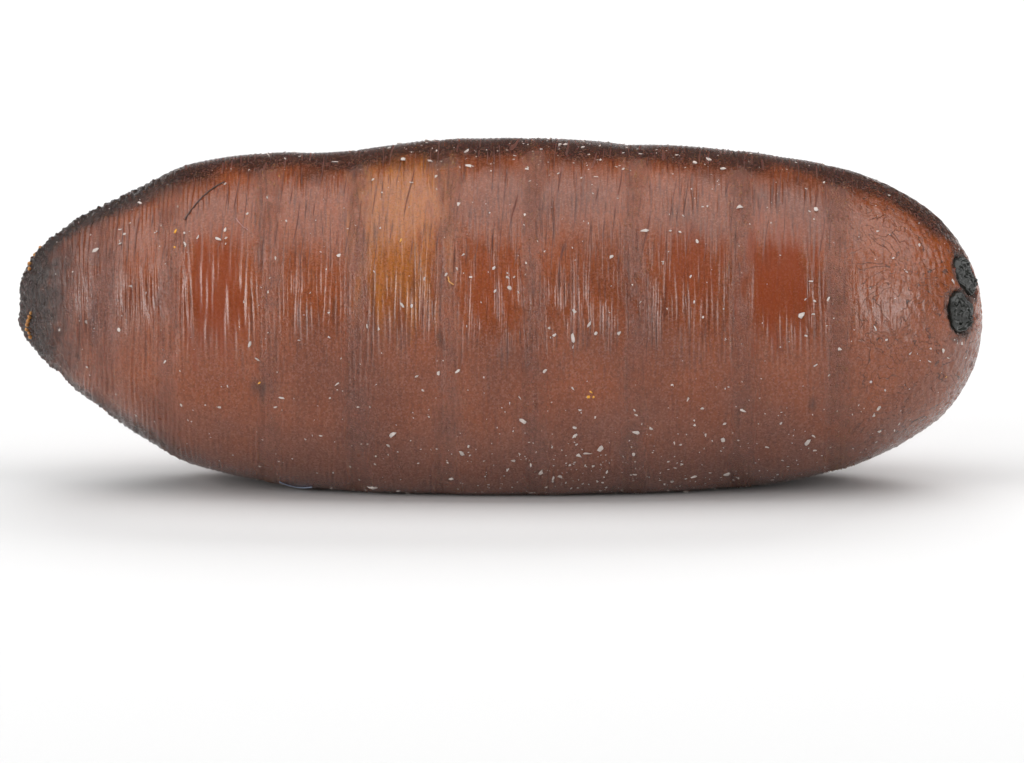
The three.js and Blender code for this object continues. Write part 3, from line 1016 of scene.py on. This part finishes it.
# Hair and textile fibre: one colour, shiny in some places and dull in others
for name, (pixels, radius, code) in FIBRES.items():
    lint = make_piece(name, *join([fibre(pixels, radius)]))
    thread, tree = new_material("lint_" + name)
    where = add_node(tree, "TexCoord")
    mottle = add_node(tree, "TexNoise", None, {"Vector": (where, "Object"), "Scale": 1 / (0.02 * MM)})
    shade = add_node(tree, "MapRange", None, {"Value": (mottle, "Fac"), "To Min": 0.3, "To Max": 0.7})
    finish_material(tree, {"Base Color": colour(code), "Roughness": (shade, "Result"), "IOR": 1.54})
    lint.data.materials.append(thread)

# %% [markdown]
# ## The ground and the light
#
# The pupa lies on a white sheet. A wide soft lamp hangs above it, and a bright panel stands on each side
# of the lens. Their mirror images are the pale upper belt, and the streaks along the middle where fine
# wrinkles tilt the skin towards a panel. A lamp's strength is set by how bright its face is.

# %% A white sheet
SHEET_RADIUS = 160.0
SHEET_SIDES = 96
circle = np.arange(SHEET_SIDES) * 2 * math.pi / SHEET_SIDES
rim = np.column_stack([SHEET_RADIUS * np.cos(circle), SHEET_RADIUS * np.sin(circle), np.zeros(SHEET_SIDES)])
sheet_mesh = bpy.data.meshes.new("white_sheet")
sheet_mesh.from_pydata((rim * MM).tolist(), [], [list(range(SHEET_SIDES))])
sheet = bpy.data.objects.new("white_sheet", sheet_mesh)
bpy.context.collection.objects.link(sheet)
sheet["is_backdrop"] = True
# Coated paper: white and matte, so that it takes a soft shadow and hardly mirrors the body
paper, tree = new_material("white_coated_paper")
finish_material(tree, {"Base Color": colour("#D3D3D3"), "Roughness": 0.7, "Specular IOR Level": 0.2})
sheet_mesh.materials.append(paper)
print("the sheet is", 2 * SHEET_RADIUS, "mm across")

# %% Lamps


def add_lamp(name, place, aim, size, brightness):
    """A rectangular lamp with a face of one brightness, where a fully lit white sheet is about 1."""
    lamp = bpy.data.lights.new(name, "AREA")
    lamp.shape = "RECTANGLE"
    lamp.size, lamp.size_y = size[0] * MM, size[1] * MM
    lamp.energy = brightness * math.pi * lamp.size * lamp.size_y
    holder = bpy.data.objects.new(name, lamp)
    holder.location = Vector(place) * MM
    holder.rotation_euler = (Vector(aim) - Vector(place)).to_track_quat("-Z", "Y").to_euler()
    holder.visible_camera = False
    bpy.context.collection.objects.link(holder)
    return holder


add_lamp("soft_lamp_above", (0.0, 1.5, 42.0), (0.0, 1.5, 0.0), (150.0, 43.0), 1.82)
add_lamp("panel_left", (-51.0, -38.0, 22.0), (0.0, 0.0, 22.0), (28.0, 44.0), 6.5)
add_lamp("panel_right", (52.0, -37.0, 22.0), (0.0, 0.0, 22.0), (24.0, 44.0), 4.4)
back_lamp = add_lamp("lamp_behind", (12.0, 60.0, 45.0), (0.0, 0.0, 0.0), (60.0, 30.0), 8.0)
back_lamp.visible_glossy = False

world = bpy.data.worlds.new("studio")
world.use_nodes = True
bpy.context.scene.world = world
tree = world.node_tree
tree.nodes.clear()
direction = add_node(tree, "TexCoord")
parts = add_node(tree, "SeparateXYZ", None, {"Vector": (direction, "Generated")})
walls = add_node(tree, "MapRange", None, {
    "Value": (parts, "Z"), "From Min": 0.7, "From Max": 0.95, "To Min": 0.62, "To Max": 0.1,
})
behind = add_node(tree, "MapRange", None, {
    "Value": (parts, "Y"), "From Min": -0.1, "From Max": 0.4, "To Min": 1.0, "To Max": 0.12,
})
lens_side = add_node(tree, "MapRange", None, {
    "Value": (parts, "Y"), "From Min": -0.9, "From Max": -0.5, "To Min": 0.5, "To Max": 1.0,
})
sides = add_node(tree, "Math", {"operation": "MULTIPLY"}, {0: (behind, "Result"), 1: (lens_side, "Result")})
tent = add_node(tree, "Math", {"operation": "MULTIPLY"}, {0: (walls, "Result"), 1: (sides, "Value")})
horizon = add_node(tree, "MapRange", None, {
    "Value": (parts, "Z"), "From Min": 0.04, "From Max": 0.14, "To Min": 1.0, "To Max": 0.0,
})
glow = add_node(tree, "Math", {"operation": "MAXIMUM"}, {0: (tent, "Value"), 1: (horizon, "Result")})
sky = add_node(tree, "Background", None, {"Color": colour("#FFFFFF"), "Strength": (glow, "Value")})
add_node(tree, "OutputWorld", None, {"Surface": (sky, "Background")})
bpy.context.scene.view_settings.view_transform = "Standard"
print("four lamps and a bright horizon")

# %% Measure and finish
visual_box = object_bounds()
sizes = {"solid": [list(corner) for corner in solid_box], "visual": [list(corner) for corner in visual_box]}
print("visual size in mm:", [round((b - a) / MM, 3) for a, b in zip(*visual_box)])
